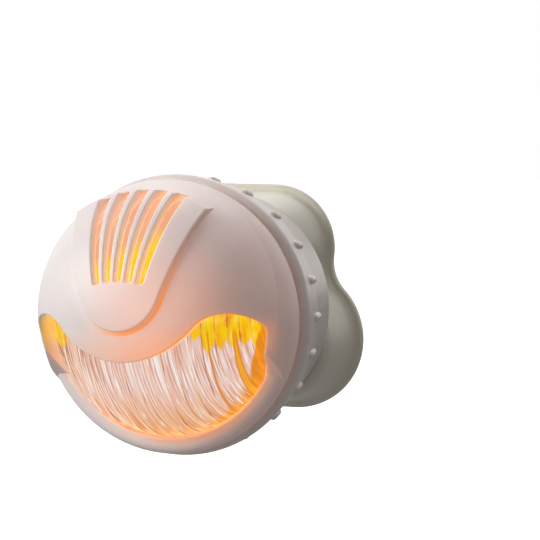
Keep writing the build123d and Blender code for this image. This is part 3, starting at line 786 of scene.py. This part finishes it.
@dataclass(frozen=True)
class FlutedLens(Finish):
    """Clear fluted polystyrene over a lit lamp: fine peach and white streaks, amber along its top.

    The clear plastic would show the lamp's light broken up by its flutes. That light is drawn here as
    the lens's own, layer over layer, on a dark glossy base that still mirrors the room.
    """

    space: ShadeSpace = ShadeSpace()
    light: float = 0.88
    relief_mm: float = 0.04  # Depth of its fine streaks
    fine: Streaks = Streaks(9.0, 1.4, 0.7)
    broad: Streaks = Streaks(1.3, 2.6, 0.0)
    clear: ClearPart = ClearPart()
    amber: AmberPart = AmberPart()
    ridges: Ridges = Ridges()  # Lines and gleams along its flutes
    # Layers over these, from the lowest to the highest
    over: tuple[OrangeEnd | OrangeBand | SlotGlow, ...] = (
        OrangeEnd(), OrangeBand(8.6, 0.15, 0.32), OrangeBand(6.5, 0.05, 0.10), SlotGlow())

    def place(self, tree: Tree) -> LensPlace:
        """Add the nodes that say where a point lies.

        Args:
            tree: Tree to fill.

        Returns:
            Place on the lens.
        """
        local = self.space.local(tree)
        way = self.space.direction(tree, local)
        front = add_node(tree, "Math", {0: way.outputs["Y"], 1: -1.0}, operation="MULTIPLY")
        lean = add_node(tree, "Math", {0: way.outputs["X"]}, operation="ARCSINE")
        # The half puts the middle of flute 0 on the axis.
        flute = add_node(tree, "Math", {0: lean, 1: self.space.ball_r / self.space.flute_mm,
                         2: 0.5}, operation="MULTIPLY_ADD")
        across = add_node(tree, "Math", {0: flute}, operation="FRACT")
        down = add_node(tree, "Math", {0: way.outputs["Z"], 1: front}, operation="ARCTAN2")
        return LensPlace(self.space.measures(tree, local), front, flute, across, down,
                         self.fine.add(tree, flute, down), self.broad.add(tree, flute, down))

    def surface(self, tree: Tree) -> Node:
        """Add the finish.

        Args:
            tree: Tree to fill.

        Returns:
            Plastic whose light follows its flutes.
        """
        on = self.place(tree)
        sheet = self.amber.share(tree, on)
        amber = set_stops(add_node(tree, "ValToRGB", {"Fac": on.dash}), self.amber.tones)
        colour = add_node(tree, "Mix", {"Factor": sheet, "A": self.clear.add(tree, on), "B": amber},
                          data_type="RGBA")
        colour = self.ridges.draw(tree, colour, on, sheet)
        for layer in self.over:
            colour = layer.draw(tree, colour, on)
        bump = add_node(tree, "Bump", {"Height": on.streak, "Strength": 0.35,
                        "Distance": self.relief_mm * MM})
        return add_node(tree, "BsdfPrincipled", {
            "Base Color": linear("#3A2A20"), "Roughness": 0.12, "IOR": 1.59, "Normal": bump,
            "Emission Color": colour, "Emission Strength": self.light})


@dataclass(frozen=True)
class HoodPlace:
    """Nodes that say where a point lies on the hood, with the shade's tilt taken out."""

    local: Node  # The place itself
    measures: Measures
    side: Node  # Its distance across from the axis, the same to both sides
    flat: Node  # The place without its depth
    folded: Node  # The same with both sides on the right


@dataclass(frozen=True)
class HoodOutline:
    """Outlines on the hood that its light follows, in millimetres across and up from the shade's axis."""

    apron_z: float = 10.2  # Height of the middle of the round apron over the window
    apron_r: float = 16.0
    turn_x: float = 12.3  # Distance across at which the apron's edge turns into the window's shoulders
    turn_soft: float = 1.0  # Half the width of that turn
    shoulder_x: float = 16.7  # Distance across of the middle of a shoulder
    shoulder_z: float = -3.81  # Height of that middle
    shoulder_r: float = 5.8
    tongue_z: float = 7.1  # Height of the middle of the raised panel's round lower end
    tongue_r: float = 7.5
    tongue_lean_deg: float = 19.7
    tongue_soft: float = 0.2  # Half the width over which its round end turns into its straight sides
    opening_r: float = 21.67  # Radius of the lens's opening
    dome_half: Point = (23.8, 21.5, 23.8)
    dome_middle: Point = (0.0, -39.05, 1.0)

    def window_distance(self, tree: Tree, on: HoodPlace) -> Node:
        """Add the distance from the window's wavy top edge.

        Args:
            tree: Tree to fill.
            on: Place on the hood.

        Returns:
            Node whose value grows from 0 at the edge to both sides, in metres.
        """
        to_apron = add_node(tree, "VectorMath", {
            0: on.flat, 1: (0.0, 0.0, self.apron_z * MM)}, operation="DISTANCE")
        middle = add_node(tree, "Math", {0: self.apron_r * MM, 1: to_apron}, operation="SUBTRACT")
        to_shoulder = add_node(tree, "VectorMath", {
            0: on.folded, 1: (self.shoulder_x * MM, 0.0, self.shoulder_z * MM)}, operation="DISTANCE")
        outer = add_node(tree, "Math", {0: to_shoulder, 1: self.shoulder_r * MM}, operation="SUBTRACT")
        past_turn = add_node(tree, "MapRange", {
            "Value": on.side, "From Min": (self.turn_x - self.turn_soft) * MM,
            "From Max": (self.turn_x + self.turn_soft) * MM})
        signed = add_node(tree, "Mix", {"Factor": past_turn, "A": middle, "B": outer}, data_type="FLOAT")
        return add_node(tree, "Math", {0: signed}, operation="ABSOLUTE")

    def step_distance(self, tree: Tree, on: HoodPlace) -> Node:
        """Add the distance from the raised panel's outline.

        Args:
            tree: Tree to fill.
            on: Place on the hood.

        Returns:
            Node whose value is 0 on the outline and grows outwards, in metres.
        """
        lean = math.radians(self.tongue_lean_deg)
        sine, cosine = math.sin(lean), math.cos(lean)
        out = add_node(tree, "VectorMath", {0: on.folded, 1: (0.0, 0.0, self.tongue_z * MM)},
                       operation="SUBTRACT")
        from_middle = add_node(tree, "VectorMath", {0: out}, operation="LENGTH")
        off_side, along_side = (
            add_node(tree, "VectorMath", {0: out, 1: way}, operation="DOT_PRODUCT")
            for way in ((cosine, 0.0, -sine), (sine, 0.0, cosine)))
        by_side = add_node(tree, "MapRange", {"Value": along_side, "From Min": -self.tongue_soft * MM,
                           "From Max": self.tongue_soft * MM})
        reach = add_node(tree, "Mix", {"Factor": by_side, "A": from_middle, "B": off_side},
                         data_type="FLOAT")
        return add_node(tree, "Math", {0: reach, 1: self.tongue_r * MM}, operation="SUBTRACT")


@dataclass(frozen=True)
class Glow:
    """Light that comes through the hood at a line or a place."""

    light: float
    reach_mm: Span  # Distance from the line or place at which it ends, and at which it is full
    fades: tuple[Fade, ...] = ()  # Fades along the shade that weaken it

    def share(self, tree: Tree, distance: Value, measures: Measures) -> Value:
        """Add how much of the light there is.

        Args:
            tree: Tree to fill.
            distance: Distance from the line or place, in metres.
            measures: What the place measures in each way.

        Returns:
            Node from 0 to 1.
        """
        near = add_node(tree, "MapRange", {
            "Value": distance, "From Min": self.reach_mm[0] * MM, "From Max": self.reach_mm[1] * MM},
            interpolation_type="SMOOTHSTEP")
        return weaken(tree, near, self.fades, measures)


# Where the window's edge is lit: to the right of the axis, low down and inside the lens's opening.
BY_WINDOW = (Fade(Way.ACROSS, 1.0, 13.0), Fade(Way.UP, 4.0, 2.0), Fade(Way.PAST_OPENING, 0.7, 0.0))


@dataclass(frozen=True)
class PearlShell(Finish):
    """Milky polycarbonate shell, moulded with a satin skin, with the lamp's light through it painted on: a
    warm patch, lit lines along the panel, the window and the rim, and lit inner walls.
    """

    colour: str = "#EFEAE8"
    shade: str = "#E9E2E0"  # Colour of the faint clouds in it
    amber: str = "#F6B46C"  # Colour painted into it along its lit lines and rim, for the light there
    warmth: str = "#FF8E40"  # Colour of the painted light through its skin
    wall_warmth: str = "#FFBE9C"  # Colour of the painted light on its inner walls
    space: ShadeSpace = ShadeSpace()
    outline: HoodOutline = HoodOutline()
    cloud_mm: float = 8.0
    grain: Grain = Grain(0.3, strength=0.3, roughness=0.5)
    gloss: Span = (0.44, 0.54)  # Roughness of the surface between the grains and on them
    patch: Glow = Glow(0.31, (17.0, 1.0))  # Painted light before the lamp
    patch_mm: Point = (6.5, -57.5, 2.0)  # Place of that light
    side: Fade = Fade(Way.ACROSS, -18.0, 12.0, 0.0075, 0.075)  # Faint painted light all over, stronger at the right
    crest: Glow = Glow(0.32, (0.4, 0.05), BY_WINDOW)  # Light in the window's top edge
    bleed: Glow = Glow(0.03, (2.4, 0.0), BY_WINDOW)  # Fainter light around that edge
    # Light along the foot of the raised panel
    step: Glow = Glow(0.16, (0.48, 0.08), (Fade(Way.UP, 13.0, 5.0), Fade(Way.ACROSS, -6.5, 1.0)))
    step_mm: float = 0.45  # Distance of that light from the panel's outline
    # Light along the rim around the lens
    rim: Glow = Glow(0.24, (2.2, -0.2), (Fade(Way.UP, 1.0, -4.0), Fade(Way.ACROSS, -15.0, 8.0, low=0.12),
                                         Fade(Way.ACROSS, 15.0, 21.0, 1.0, 0.4)))
    # Light in the thin land beside the window's right corner
    corner: Glow = Glow(0.13, (4.6, 1.0), (Fade(Way.DEPTH, -43.4, -45.4),))
    corner_mm: Point = (21.4, 0.0, -2.6)  # Place of that light
    # Light on the walls of the window and, brighter, of the slots, and what weakens it
    walls: tuple[Fade, ...] = (Fade(Way.UP, 4.0, 7.0, 0.16, 0.50), Fade(Way.UP, 22.0, 16.0, low=0.45),
                               Fade(Way.ACROSS, -16.0, -11.0, low=0.15))
    left_wall: Fade = Fade(Way.ACROSS, -16.0, -19.0, high=0.20)  # Light on the window's left end wall
    rim_amber: float = 0.4  # Share of painted amber in the lit rim
    # Shares of the way from the dome's middle to its skin at which its walls begin, and are full
    skin: Span = (0.975, 0.94)

    def place(self, tree: Tree) -> HoodPlace:
        """Add the nodes that say where a point lies.

        Args:
            tree: Tree to fill.

        Returns:
            Place on the hood.
        """
        local = self.space.local(tree)
        measures = self.space.measures(tree, local)
        side = add_node(tree, "Math", {0: measures[Way.ACROSS]}, operation="ABSOLUTE")
        flat = add_node(tree, "VectorMath", {0: local, 1: (1.0, 0.0, 1.0)}, operation="MULTIPLY")
        folded = add_node(tree, "CombineXYZ", {"X": side, "Z": measures[Way.UP]})
        off_axis = add_node(tree, "VectorMath", {0: flat}, operation="LENGTH")
        measures[Way.PAST_OPENING] = add_node(tree, "Math", {
            0: off_axis, 1: self.outline.opening_r * MM}, operation="SUBTRACT")
        return HoodPlace(local, measures, side, flat, folded)

    def surface(self, tree: Tree) -> Node:
        """Add the finish.

        Args:
            tree: Tree to fill.

        Returns:
            Translucent plastic with a painted warm patch of light before the lamp and painted lit lines
            along the panel and window.
        """
        on = self.place(tree)
        wall = self.wall(tree, on)
        light, lines = self.light_through(tree, on, wall)
        milky = mottle(tree, on.local, self.cloud_mm, (self.shade, self.colour))
        # Painted light: the colour turns amber along the lit lines and the rim.
        colour = add_node(tree, "Mix", {"Factor": lines, "A": milky,
                          "B": linear(self.amber)}, data_type="RGBA")
        hue = add_node(tree, "Mix", {"Factor": wall, "A": linear(self.warmth),
                       "B": linear(self.wall_warmth)}, data_type="RGBA")
        bump, gloss = self.grain.add(tree, on.local, self.gloss)
        return add_node(tree, "BsdfPrincipled", {
            "Base Color": colour, "Roughness": gloss, "Normal": bump, "IOR": 1.55, "Coat Weight": 0.1,
            "Coat Roughness": 0.35, "Subsurface Weight": 0.4, "Subsurface Radius": (1.0, 0.45, 0.22),
            "Subsurface Scale": 2.0 * MM, "Emission Color": hue, "Emission Strength": light})

    def light_through(self, tree: Tree, on: HoodPlace, wall: Node) -> tuple[Node, Node]:
        """Add the painted light that stands for what comes through the shell.

        Args:
            tree: Tree to fill.
            on: Place on the hood.
            wall: Share of inner wall.

        Returns:
            Strength of the painted light, and the share of painted amber along the lit lines.
        """
        to_patch, to_corner = (
            add_node(tree, "VectorMath", {0: place, 1: tuple(size * MM for size in middle)},
                     operation="DISTANCE")
            for place, middle in ((on.local, self.patch_mm), (on.flat, self.corner_mm)))
        window = self.outline.window_distance(tree, on)
        off_step = add_node(tree, "Math", {0: self.outline.step_distance(tree, on),
                            1: self.step_mm * MM}, operation="SUBTRACT")
        by_step = add_node(tree, "Math", {0: off_step}, operation="ABSOLUTE")
        glows = (self.patch, self.crest, self.bleed, self.step, self.rim, self.corner)
        distances = (to_patch, window, window, by_step, on.measures[Way.PAST_OPENING], to_corner)
        shares = [glow.share(tree, away, on.measures) for glow, away in zip(glows, distances)]

        light = self.side.add(tree, on.measures)
        for glow, share in zip(glows, shares):
            light = add_node(tree, "Math", {0: share, 1: glow.light, 2: light}, operation="MULTIPLY_ADD")
        for fades in (self.walls, (self.left_wall,)):
            light = add_node(tree, "Math", {
                0: weaken(tree, wall, fades, on.measures), 1: light}, operation="ADD")

        _, crest, _, step, rim, _ = shares
        lines = add_node(tree, "Math", {0: step, 1: crest}, operation="MAXIMUM")
        return light, add_node(tree, "Math", {0: rim, 1: self.rim_amber, 2: lines},
                               operation="MULTIPLY_ADD", use_clamp=True)

    def wall(self, tree: Tree, on: HoodPlace) -> Node:
        """Add the share of inner wall: what lies below the dome's skin, as the slots' walls do.

        Args:
            tree: Tree to fill.
            on: Place on the hood.

        Returns:
            Node that is 0 on the skin and 1 below it.
        """
        half, middle = self.outline.dome_half, self.outline.dome_middle
        unit = add_node(tree, "VectorMath", {
            0: on.local, 1: tuple(1 / (size * MM) for size in half),
            2: tuple(-place / size for place, size in zip(middle, half))}, operation="MULTIPLY_ADD")
        out = add_node(tree, "VectorMath", {0: unit}, operation="LENGTH")
        return add_node(tree, "MapRange", {"Value": out, "From Min": self.skin[0],
                        "From Max": self.skin[1]})


@dataclass
class PlugBody:
    """Plug shell with its base, pins, screws and contact strips."""

    # ABS of the plug's body: warm white, half matt and a little translucent at its edges.
    shell: MouldedSkin = MouldedSkin("moulded_abs_plug", "#EAE4D4", "#E2DCCA", 0.42, subsurface=0.12)
    # ABS of the rear plate and the earth pin: greyer, duller and with a coarser grain.
    base: MouldedSkin = MouldedSkin("moulded_abs_base", "#DFE0DA", "#D5D7D0", 0.5, Grain(0.5, 0.01),
                                    coat=0.0)
    # Nylon of the pins' sleeves: near black, with a dull shine.
    sleeves: MouldedSkin = MouldedSkin("moulded_nylon_sleeves", "#1B1B1D", "#141416", 0.45, coat=0.0)
    # Brass turned to size: the clearest and yellowest shine of the plug.
    pins: Metal = Metal("machined_brass_pins", "#D9B871", "#A98247", 0.24)
    # Brass strip, cut and bent: browner and duller than the pins.
    strips: Metal = Metal("pressed_brass_strips", "#CDAA62", "#8F6D38", 0.32)
    # Steel under a thin coat of zinc: grey, with a soft shine.
    screws: Metal = Metal("zinc_plated_steel_screws", "#B9BAB6", "#86857F", 0.34)

    def dress(self) -> list[bpy.types.Object]:
        """Give each part of the plug its finish.

        Returns:
            The parts' objects.
        """
        shell, base, sleeves = self.shell.build(), self.base.build(), self.sleeves.build()
        pins, strips, screws = self.pins.build(), self.strips.build(), self.screws.build()
        finishes = {"plug_shell": shell, "plug_base": base, "earth_pin": base, "pin_sleeves": sleeves,
                    "line_pin": pins, "neutral_pin": pins, "line_strip": strips,
                    "neutral_strip": strips, "centre_contact": strips, "base_screws": screws}
        return [dress(name, finish) for name, finish in finishes.items()]


@dataclass
class LampAndHolder:
    """Small screw lamp in its holder."""

    # Pale phenolic, pressed hot: matt and chalky.
    holder: MouldedSkin = MouldedSkin("moulded_phenolic_holder", "#D9D3C4", "#CDC6B5", 0.55, coat=0.0)
    # Black glass fused into the cap: dark with a clear gloss.
    insulator: MouldedSkin = MouldedSkin("fused_black_glass_cone", "#18171A", "#101013", 0.18, coat=0.4)
    # Thin brass drawn to a sleeve: yellow, with a soft shine.
    sleeve: Metal = Metal("pressed_brass_sleeve", "#CFAE6B", "#9A7840", 0.3)
    # Nickel over brass: a whitish shine with warm grey places.
    cap: Metal = Metal("nickel_plated_brass_cap", "#CFCCC2", "#A39D8D", 0.26)
    # Tin solder: light grey and dull.
    solder: Metal = Metal("tin_solder", "#B7B8B8", "#8F9090", 0.42)
    # Rolled spring steel: cool grey, finely lined.
    spring: Metal = Metal("rolled_spring_steel", "#A6A8AA", "#76777A", 0.3)
    bulb: ClearGlass = ClearGlass("blown_lamp_glass", Glass.SODA_LIME, "#FFC36A", 0.35)
    stem: ClearGlass = ClearGlass("pressed_stem_glass", Glass.LEAD, "#FFB452", 0.25)
    wire: HotWire = HotWire("tungsten_wire", "#FF7A1A", "#FFE9B8", 18.0, 3.8)

    def dress(self) -> list[bpy.types.Object]:
        """Give each part of the lamp and its holder its finish.

        Returns:
            The parts' objects.
        """
        spring = self.spring.build()
        finishes = {"lamp_holder": self.holder.build(), "holder_sleeve": self.sleeve.build(),
                    "lamp_contact": self.solder.build(), "lamp_insulator": self.insulator.build(),
                    "lamp_cap": self.cap.build(), "lamp_glass": self.bulb.build(),
                    "lamp_stem": self.stem.build(), "lamp_filament": self.wire.build(),
                    "turn_washer": spring, "neck_clip": spring}
        return [dress(name, finish) for name, finish in finishes.items()]


@dataclass
class Shade:
    """Cup, grip ring, hood and lens."""

    # Milky polycarbonate of the cup: satin and faintly pink, with light that sinks in.
    cup: MouldedSkin = MouldedSkin("moulded_polycarbonate_cup", "#E0D3CC", "#D7CAC4", 0.35,
                                   subsurface=0.25)
    # The same plastic in the ring, whiter, with soft light in its pips.
    ring: MouldedSkin = MouldedSkin("moulded_polycarbonate_ring", "#F4E6E0", "#ECDED8", 0.36,
                                    subsurface=0.2)
    # ABS of the clamp: plain, half matt, not lit through.
    clamp: MouldedSkin = MouldedSkin("moulded_abs_clamp", "#E6E2DC", "#DDD8D0", 0.45)
    hood: PearlShell = PearlShell("milky_polycarbonate_hood")
    lens: FlutedLens = FlutedLens("fluted_polystyrene_lens")
    amber: AmberSheet = AmberSheet("amber_polycarbonate_filter")

    def dress(self) -> list[bpy.types.Object]:
        """Give each part of the shade its finish.

        Returns:
            The parts' objects.
        """
        finishes = {"shade_cup": self.cup.build(), "grip_ring": self.ring.build(),
                    "hood": self.hood.build(), "lens": self.lens.build(),
                    "amber_filter": self.amber.build(), "lens_clamp": self.clamp.build()}
        return [dress(name, finish) for name, finish in finishes.items()]


@dataclass(frozen=True)
class FloorPaint(Finish):
    """Matt white paint. To the camera it is lit by itself, so that no horizon shows."""

    white_m: Span = (0.12, 0.7)  # Distances from the part's origin between which it turns white
    near: float = 0.62  # Strength of its light near the part

    def surface(self, tree: Tree) -> Node:
        """Add the finish.

        Args:
            tree: Tree to fill.

        Returns:
            Paint that is grey to the lamps and white to the camera.
        """
        seen = add_node(tree, "LightPath").outputs["Is Camera Ray"]
        place = add_node(tree, "TexCoord").outputs["Object"]
        away = add_node(tree, "VectorMath", {0: place}, operation="LENGTH")
        own = add_node(tree, "MapRange", {"Value": away, "From Min": self.white_m[0],
                       "From Max": self.white_m[1], "To Min": self.near})
        lift = add_node(tree, "Math", {0: seen, 1: own}, operation="MULTIPLY")
        colour = add_node(tree, "Mix", {"Factor": seen, "A": linear("#9A9A9A"),
                          "B": linear("#F4F4F4")}, data_type="RGBA")
        return add_node(tree, "BsdfPrincipled", {
            "Base Color": colour, "Roughness": 0.9, "Specular IOR Level": 0.1,
            "Emission Color": linear("#FFFFFF"), "Emission Strength": lift})


@dataclass(frozen=True)
class SoftLamp:
    """Soft square lamp that looks at the shade."""

    name: str
    place: Point  # Where it hangs, in metres
    size: float  # Length of its side, in metres
    power: float  # In watts

    def hang(self, target: Vector) -> bpy.types.Object:
        """Hang the lamp.

        Args:
            target: Place that it looks at, in metres.

        Returns:
            The lamp's object.
        """
        data = bpy.data.lights.new(self.name, "AREA")
        data.size = self.size
        data.energy = self.power
        lamp = bpy.data.objects.new(self.name, data)
        lamp.location = self.place
        lamp.rotation_mode = "QUATERNION"
        lamp.rotation_quaternion = (target - Vector(self.place)).to_track_quat("-Z", "Y")
        bpy.context.scene.collection.objects.link(lamp)
        return lamp


@dataclass
class Studio:
    """Pale floor, white surroundings, soft lamps and the camera."""

    floor_z_mm: float = -90.0
    floor_size_m: float = 6.0  # Length of its side
    paint: FloorPaint = FloorPaint("painted_floor")
    lens_mm: float = 130.2  # Focal length of the camera
    sensor_mm: float = 36.0
    place_mm: Point = (140.19, -360.56, 38.22)  # Place of the camera
    right: Point = (0.93601, 0.35189, 0.00741)  # Its direction to the right
    up: Point = (-0.03647, 0.07601, 0.99644)
    back: Point = (0.35008, -0.93296, 0.08397)  # Its direction away from the part
    clip_m: Span = (0.01, 20.0)  # Nearest and farthest distance that it sees
    sky: float = 0.15  # Strength of the surroundings as a lamp
    target: Point = (0.0, -0.03, 0.0)  # Place that the lamps look at, in metres
    lamps: tuple[SoftLamp, ...] = (SoftLamp("key_lamp", (-0.62, -0.50, 0.34), 0.45, 4.9),
                                   SoftLamp("fill_lamp", (-0.30, -0.80, 0.02), 0.60, 1.0),
                                   SoftLamp("top_lamp", (-0.02, 0.36, 0.64), 0.60, 2.3),
                                   SoftLamp("side_lamp", (0.46, 0.14, 0.54), 0.40, 0.4))

    def build(self) -> None:
        """Make the whole studio."""
        self.set_up_world()
        self.lay_floor()
        for lamp in self.lamps:
            lamp.hang(Vector(self.target))
        self.set_up_camera()

    def set_up_world(self) -> None:
        """Surround the object with white that lights it only as much as sky says."""
        world = bpy.data.worlds.new("white_surroundings")
        world.use_nodes = True
        tree = world.node_tree
        tree.nodes.clear()
        path = add_node(tree, "LightPath")
        direct = add_node(tree, "Math", {0: path.outputs["Is Camera Ray"],
                          1: path.outputs["Is Transmission Ray"]}, operation="MAXIMUM")
        seen = add_node(tree, "Math", {0: direct, 1: path.outputs["Is Glossy Ray"]}, operation="MAXIMUM")
        strength = add_node(tree, "MapRange", {"Value": seen, "To Min": self.sky, "To Max": 1.0})
        light = add_node(tree, "Background", {"Color": (1.0, 1.0, 1.0, 1.0), "Strength": strength})
        add_node(tree, "OutputWorld", {"Surface": light})
        bpy.context.scene.world = world

    def lay_floor(self) -> bpy.types.Object:
        """Lay the pale floor below the light.

        Returns:
            The floor's object.
        """
        half, level = self.floor_size_m / 2, self.floor_z_mm * MM
        mesh = bpy.data.meshes.new("floor")
        corners = [(-half, -half, level), (half, -half, level), (half, half, level), (-half, half, level)]
        mesh.from_pydata(corners, [], [(0, 1, 2, 3)])
        floor = bpy.data.objects.new("floor", mesh)
        bpy.context.scene.collection.objects.link(floor)
        mesh.materials.append(self.paint.build())
        return floor

    def set_up_camera(self) -> bpy.types.Object:
        """Put the camera where the picture was taken from.

        Returns:
            The camera's object.
        """
        data = bpy.data.cameras.new("camera")
        data.lens = self.lens_mm
        data.sensor_width = self.sensor_mm
        data.clip_start, data.clip_end = self.clip_m
        camera = bpy.data.objects.new("camera", data)
        turn = Matrix((self.right, self.up, self.back)).transposed()
        place = Vector(self.place_mm) * MM
        camera.matrix_world = Matrix.Translation(place) @ turn.to_4x4()
        bpy.context.scene.collection.objects.link(camera)
        bpy.context.scene.camera = camera
        return camera


def main() -> None:
    """Dress every part, set up the studio and report the pieces."""
    logging.basicConfig(level=logging.INFO, format="%(name)s: %(message)s")
    bpy.context.scene.view_settings.view_transform = "Standard"
    for assembly in (PlugBody(), LampAndHolder(), Shade()):
        for piece in assembly.dress():
            LOG.info("%s: %s", type(assembly).__name__, piece.name)
    Studio().build()


if __name__ == "__main__":
    main()
